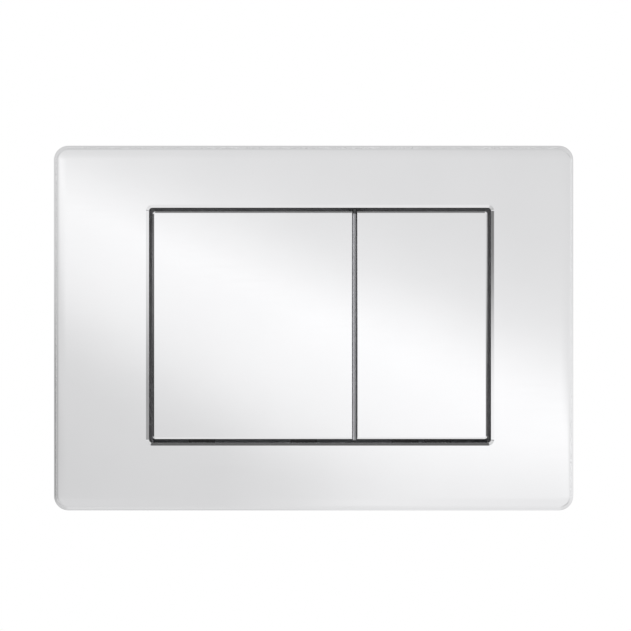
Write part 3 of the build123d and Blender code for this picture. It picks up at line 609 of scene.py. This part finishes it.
def make_spring(button):
    """Round-wire return spring with flat end turns."""
    node = f"{button}_return_spring"
    low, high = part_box(node)
    axis = (low + high) / 2
    radius = (high.z - low.z) / 2 - SPRING_WIRE_R
    first, last = high.y - SPRING_WIRE_R, low.y + SPRING_WIRE_R
    steps = SPRING_TURNS * SPRING_STEPS_PER_TURN
    centers = []
    for step in range(steps + 1):
        turn = step / SPRING_STEPS_PER_TURN
        angle = 2 * math.pi * turn
        y = first + (last - first) * spring_rise(turn)
        centers.append(Vector((axis.x + radius * math.cos(angle), y, axis.z + radius * math.sin(angle))))
    mesh = bmesh.new()
    rings = []
    for index, center in enumerate(centers):
        before, after = centers[max(index - 1, 0)], centers[min(index + 1, steps)]
        along = (after - before).normalized()
        outward = Vector((center.x - axis.x, 0, center.z - axis.z)).normalized()
        up = along.cross(outward).normalized()
        ring = []
        for side in range(SPRING_WIRE_SIDES):
            angle = 2 * math.pi * side / SPRING_WIRE_SIDES
            away = math.cos(angle) * outward + math.sin(angle) * up
            ring.append(mesh.verts.new(center + SPRING_WIRE_R * away))
        rings.append(ring)
    ring_strip(mesh, rings)
    mesh.faces.new(list(reversed(rings[0])))
    mesh.faces.new(rings[-1])
    bmesh.ops.recalc_face_normals(mesh, faces=mesh.faces)
    piece = mesh_piece(f"{button}_wire_spring", mesh, "plate", "spring_steel", node)
    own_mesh(piece)


def staged_object(name, mesh):
    """An object of the surroundings, made of a bmesh, which is no piece of the plate."""
    data = bpy.data.meshes.new(name)
    mesh.to_mesh(data)
    mesh.free()
    piece = bpy.data.objects.new(name, data)
    bpy.context.scene.collection.objects.link(piece)
    return piece


def bare_material(name):
    """A new material with an empty node tree but for its object coordinates."""
    material = bpy.data.materials.new(name)
    material.use_nodes = True
    tree = material.node_tree
    tree.nodes.clear()
    place = put(tree, "ShaderNodeTexCoord").outputs["Object"]
    return material, tree, place


def brightness_curve(tree, value, stops):
    """A smooth curve through stops of a value and its brightness."""
    lowest, highest = stops[0][0], stops[-1][0]
    limits = {"Value": value, "From Min": lowest, "From Max": highest}
    share = put(tree, "ShaderNodeMapRange", limits).outputs[0]
    curve = put(tree, "ShaderNodeFloatCurve", {"Factor": 1.0, "Value": share})
    points = curve.mapping.curves[0].points
    for index, (stop, brightness) in enumerate(stops):
        spot = ((stop - lowest) / (highest - lowest), brightness / CURVE_TOP)
        if index == 0 or index == len(stops) - 1:
            points[0 if index == 0 else -1].location = spot
        else:
            points.new(*spot)
    for point in points:
        point.handle_type = "AUTO_CLAMPED"
    curve.mapping.update()
    return calc(tree, "MULTIPLY", curve.outputs[0], CURVE_TOP)


def across_line(tree, right, up, fall):
    """The slope square to a line that falls to the right."""
    rise = calc(tree, "MULTIPLY_ADD", right, fall, up)
    return calc(tree, "MULTIPLY", rise, 1 / math.hypot(1, fall))


def tent_front(tree, right, up):
    """Brightness ahead of the plate: the bright strip, the shade under it and the glow of the floor."""
    strip = brightness_curve(tree, across_line(tree, right, up, STRIP_FALL), ABOVE_STRIP)
    shade = brightness_curve(tree, across_line(tree, right, up, SHADE_FALL), BELOW_STRIP)
    floor_share = between(tree, up, *FLOOR_GLOW_SLOPES, 1.0, 0.0)
    floor = brightness_curve(tree, right, FLOOR_GLOW)
    return mix(tree, floor_share, calc(tree, "MINIMUM", strip, shade), floor)


def add_sides(tree, light, x, z, forward):
    """Brightness with the tent's left and right sides and their level bands blended in."""
    left_share = between(tree, x, -SIDE_FULL, -SIDE_START, 1.0, 0.0)
    light = mix(tree, left_share, light, brightness_curve(tree, z, LEFT_SIDE))
    right_share = between(tree, x, SIDE_START, SIDE_FULL)
    light = mix(tree, right_share, light, brightness_curve(tree, z, RIGHT_SIDE))
    banded = between(tree, calc(tree, "ABSOLUTE", z), *BANDS_HEIGHTS)
    banded = calc(tree, "MULTIPLY", banded, between(tree, forward, *BANDS_FORWARD))
    banded = calc(tree, "MULTIPLY", banded, calc(tree, "MAXIMUM", left_share, right_share))
    return mix(tree, banded, light, brightness_curve(tree, z, BANDS))


def patch_light(tree, x, z, tones):
    """Brightness of one part of the four patches."""
    lower_left, upper_left, lower_right, upper_right, top, foot = tones
    left = between(tree, z, *LOWER_TO_UPPER_Z, lower_left, upper_left)
    right = between(tree, z, *LOWER_TO_UPPER_Z, lower_right, upper_right)
    sides = mix(tree, between(tree, x, *LEFT_TO_RIGHT_X), left, right)
    ends = between(tree, z, -SIDES_TO_ENDS_Z[0], SIDES_TO_ENDS_Z[0], foot, top)
    return mix(tree, between(tree, calc(tree, "ABSOLUTE", z), *SIDES_TO_ENDS_Z), sides, ends)


def add_patches(tree, light, x, z, forward):
    """Brightness with the four patches blended in, which the bevels and the rolled rim show."""
    slit_middle = (SLIT_FORWARD[1] + SLIT_FORWARD[2]) / 2
    past_slit = calc(tree, "GREATER_THAN", forward, slit_middle)
    buttons = patch_light(tree, x, z, BUTTON_PATCHES)
    opening = patch_light(tree, x, z, OPENING_PATCHES)
    patch = mix(tree, past_slit, buttons, opening)
    patch = mix(tree, band(tree, forward, SLIT_FORWARD), patch, patch_light(tree, x, z, SLIT_PATCHES))
    beside = between(tree, calc(tree, "ABSOLUTE", z), *SIDE_PATCH_Z, 1.0, 0.0)
    over_or_under = between(tree, calc(tree, "ABSOLUTE", x), *END_PATCH_X, 1.0, 0.0)
    share = calc(tree, "MAXIMUM", beside, over_or_under)
    share = calc(tree, "MULTIPLY", band(tree, forward, PATCH_FORWARD), share)
    return mix(tree, share, light, patch)


def make_tent():
    """What the chrome reflects: a pale tent that the camera doesn't see and that casts no light or shadow."""
    columns, rows = TENT_SEGMENTS
    mesh = bmesh.new()
    bmesh.ops.create_uvsphere(mesh, u_segments=columns, v_segments=rows, radius=TENT_RADIUS)
    tent = staged_object("reflection_tent", mesh)
    tent.visible_camera = False
    tent.visible_diffuse = False
    tent.visible_shadow = False
    material, tree, place = bare_material("tent_cloth")
    way = put(tree, "ShaderNodeVectorMath", {0: place}, operation="NORMALIZE").outputs[0]
    x, y, z = put(tree, "ShaderNodeSeparateXYZ", {0: way}).outputs
    forward = calc(tree, "MULTIPLY", y, -1.0)
    ahead = calc(tree, "MAXIMUM", forward, LEAST_FORWARD)
    light = tent_front(tree, calc(tree, "DIVIDE", x, ahead), calc(tree, "DIVIDE", z, ahead))
    light = add_sides(tree, light, x, z, forward)
    light = add_patches(tree, light, x, z, forward)
    light = mix(tree, between(tree, y, *BACK_GLOW_RANGE), light, brightness_curve(tree, z, BACK_GLOW))
    glow = put(tree, "ShaderNodeEmission", {"Strength": light})
    put(tree, "ShaderNodeOutputMaterial", {"Surface": glow.outputs[0]})
    tent.data.materials.append(material)


def make_floor():
    """A pale round floor that fades into the white background and is clear from below."""
    mesh = bmesh.new()
    bmesh.ops.create_circle(mesh, cap_ends=True, segments=FLOOR_SIDES, radius=FLOOR_RADIUS)
    floor = staged_object("floor", mesh)
    floor.location = (0, 0, -FLOOR_DROP)
    floor.visible_glossy = False
    material, tree, place = bare_material("pale_floor")
    reach = put(tree, "ShaderNodeVectorMath", {0: place}, operation="LENGTH").outputs["Value"]
    fade = between(tree, reach, *FLOOR_FADE)
    fade = calc(tree, "MAXIMUM", fade, put(tree, "ShaderNodeNewGeometry").outputs["Backfacing"])
    paint = put(tree, "ShaderNodeBsdfDiffuse", {"Color": FLOOR_COLOR})
    clear = put(tree, "ShaderNodeBsdfTransparent")
    both = put(tree, "ShaderNodeMixShader", {0: fade, 1: paint.outputs[0], 2: clear.outputs[0]})
    put(tree, "ShaderNodeOutputMaterial", {"Surface": both.outputs[0]})
    floor.data.materials.append(material)


def make_world():
    """White to the camera and behind all that is shiny or clear, and an even pale light on everything."""
    world = bpy.data.worlds.new("studio")
    bpy.context.scene.world = world
    world.use_nodes = True
    tree = world.node_tree
    tree.nodes.clear()
    path = put(tree, "ShaderNodeLightPath")
    seen = calc(tree, "MAXIMUM", path.outputs["Is Camera Ray"], path.outputs["Is Glossy Ray"])
    seen = calc(tree, "MAXIMUM", seen, path.outputs["Is Transmission Ray"])
    ambient = put(tree, "ShaderNodeBackground", {"Color": WHITE, "Strength": AMBIENT})
    white = put(tree, "ShaderNodeBackground", {"Color": WHITE, "Strength": 1.0})
    both = put(tree, "ShaderNodeMixShader", {0: seen, 1: ambient.outputs[0], 2: white.outputs[0]})
    put(tree, "ShaderNodeOutputWorld", {"Surface": both.outputs[0]})


def make_lamp(name, place, size, power):
    """A soft square lamp that points at the plate and doesn't show in mirrors."""
    light = bpy.data.lights.new(name, "AREA")
    light.size = size
    light.energy = power
    lamp = bpy.data.objects.new(name, light)
    lamp.location = place
    lamp.rotation_euler = (-Vector(place)).to_track_quat("-Z", "Y").to_euler()
    lamp.visible_glossy = False
    bpy.context.scene.collection.objects.link(lamp)


def make_camera():
    """A camera square in front of the plate, framed as the photograph is."""
    low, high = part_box("fascia")
    pixel = (high.x - low.x) / PLATE_WIDTH_IN_IMAGE
    data = bpy.data.cameras.new("photo_camera")
    data.sensor_width = SENSOR_WIDTH
    data.lens = SENSOR_WIDTH * CAMERA_DISTANCE / (pixel * IMAGE_SIZE)
    camera = bpy.data.objects.new("photo_camera", data)
    middle_x, middle_z = (low.x + high.x) / 2, (low.z + high.z) / 2
    camera.location = (
        middle_x + (IMAGE_SIZE / 2 - PLATE_CENTER_IN_IMAGE[0]) * pixel,
        low.y - CAMERA_DISTANCE,
        middle_z - (IMAGE_SIZE / 2 - PLATE_CENTER_IN_IMAGE[1]) * pixel,
    )
    camera.rotation_euler = (math.radians(90), 0, 0)
    bpy.context.scene.collection.objects.link(camera)
    bpy.context.scene.camera = camera


materials = {
    "chrome_plating": chrome("chrome_plating"),
    "carrier_plastic": moulded_plastic(
        "carrier_plastic", CARRIER_ROUGHNESS, CARRIER_GRAIN_DEPTH, CARRIER_TONE, rib_painted_light
    ),
    "frame_plastic": moulded_plastic("frame_plastic", FRAME_ROUGHNESS, FRAME_GRAIN_DEPTH),
    "nut_plastic": moulded_plastic("nut_plastic", NUT_ROUGHNESS, NUT_GRAIN_DEPTH),
    "rod_plastic": turned_plastic("rod_plastic"),
    "pad_rubber": rubber("pad_rubber"),
    "pin_steel": drawn_steel("pin_steel", "X", PIN_ROUGHNESS),
    "spring_steel": drawn_steel("spring_steel", "Y", SPRING_ROUGHNESS),
    "zinc_steel": zinc_plating("zinc_steel"),
}
facets = smoothing_group()
for subpart in record["subparts"]:
    solid = cad_nodes[subpart["node"]]
    solid.data.materials.clear()
    solid.data.materials.append(materials[subpart["material_slot"]])
    smooth_solid(solid, facets)

for stud_side in ("left", "right"):
    make_stud(stud_side)
make_screws()
for spring_button in ("full", "half"):
    make_spring(spring_button)

make_world()
make_tent()
make_floor()
for lamp_values in LAMPS:
    make_lamp(*lamp_values)
make_camera()
bpy.context.scene.view_settings.view_transform = "Standard"
